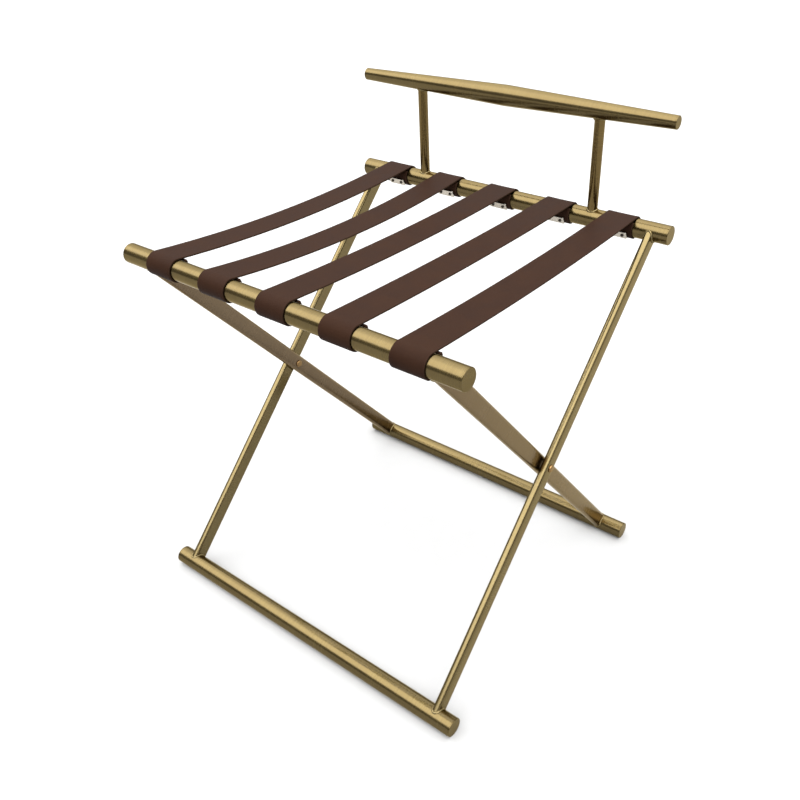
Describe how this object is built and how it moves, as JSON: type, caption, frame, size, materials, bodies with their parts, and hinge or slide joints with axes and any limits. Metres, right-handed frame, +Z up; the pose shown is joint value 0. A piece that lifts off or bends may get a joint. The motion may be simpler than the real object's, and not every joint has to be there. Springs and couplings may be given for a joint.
{
  "type": "folding luggage rack",
  "caption": "Folding luggage rack: brushed gold tube frames crossed on a pair of rivets, brown leather straps between the rails and a raised back rail.",
  "frame": {"origin": "on the floor, midway between the floor bars and between the rack's two ends", "axes": "+X along the rails to the right as seen from the front, +Y to the back, where the back rail stands, +Z up"},
  "size_m": [0.505, 0.485, 0.6571],
  "materials": {
    "frame_gold": "brushed antique gold plating",
    "strap_leather": "dark brown satin leather",
    "clamp_nickel": "satin nickel plating",
    "screw_dark": "blackened steel",
    "rivet_brass": "polished dome",
    "washer_dark": "dark nylon"
  },
  "bodies": {
    "rear_frame": {"rear_rail": "frame_gold", "rear_rail_cap_left": "frame_gold", "rear_rail_cap_right": "frame_gold", "back_rail": "frame_gold", "back_rail_cap_left": "frame_gold", "back_rail_cap_right": "frame_gold", "post_left": "frame_gold", "post_right": "frame_gold", "outer_leg_left": "frame_gold", "outer_leg_right": "frame_gold", "front_bar": "frame_gold", "front_bar_cap_left": "frame_gold", "front_bar_cap_right": "frame_gold", "pivot_rivet_left": "rivet_brass", "pivot_rivet_right": "rivet_brass", "pivot_washer_left": "washer_dark", "pivot_washer_right": "washer_dark", "strap_1": "strap_leather", "strap_2": "strap_leather", "strap_3": "strap_leather", "strap_4": "strap_leather", "strap_5": "strap_leather", "rear_clamp_1": "clamp_nickel", "rear_clamp_2": "clamp_nickel", "rear_clamp_3": "clamp_nickel", "rear_clamp_4": "clamp_nickel", "rear_clamp_5": "clamp_nickel", "rear_screws_1": "screw_dark", "rear_screws_2": "screw_dark", "rear_screws_3": "screw_dark", "rear_screws_4": "screw_dark", "rear_screws_5": "screw_dark"},
    "front_frame": {"front_rail": "frame_gold", "front_rail_cap_left": "frame_gold", "front_rail_cap_right": "frame_gold", "inner_leg_left": "frame_gold", "inner_leg_right": "frame_gold", "rear_bar": "frame_gold", "rear_bar_cap_left": "frame_gold", "rear_bar_cap_right": "frame_gold", "front_clamp_1": "clamp_nickel", "front_clamp_2": "clamp_nickel", "front_clamp_3": "clamp_nickel", "front_clamp_4": "clamp_nickel", "front_clamp_5": "clamp_nickel", "front_screws_1": "screw_dark", "front_screws_2": "screw_dark", "front_screws_3": "screw_dark", "front_screws_4": "screw_dark", "front_screws_5": "screw_dark"}
  },
  "joints": [
    {"name": "fold", "type": "hinge", "parent": "rear_frame", "child": "front_frame", "pos_m": [0, 0, 0.25928], "axis": [-1, 0, 0], "range_deg": [0, 77], "deforming": ["strap_1", "strap_2", "strap_3", "strap_4", "strap_5"]}
  ]
}
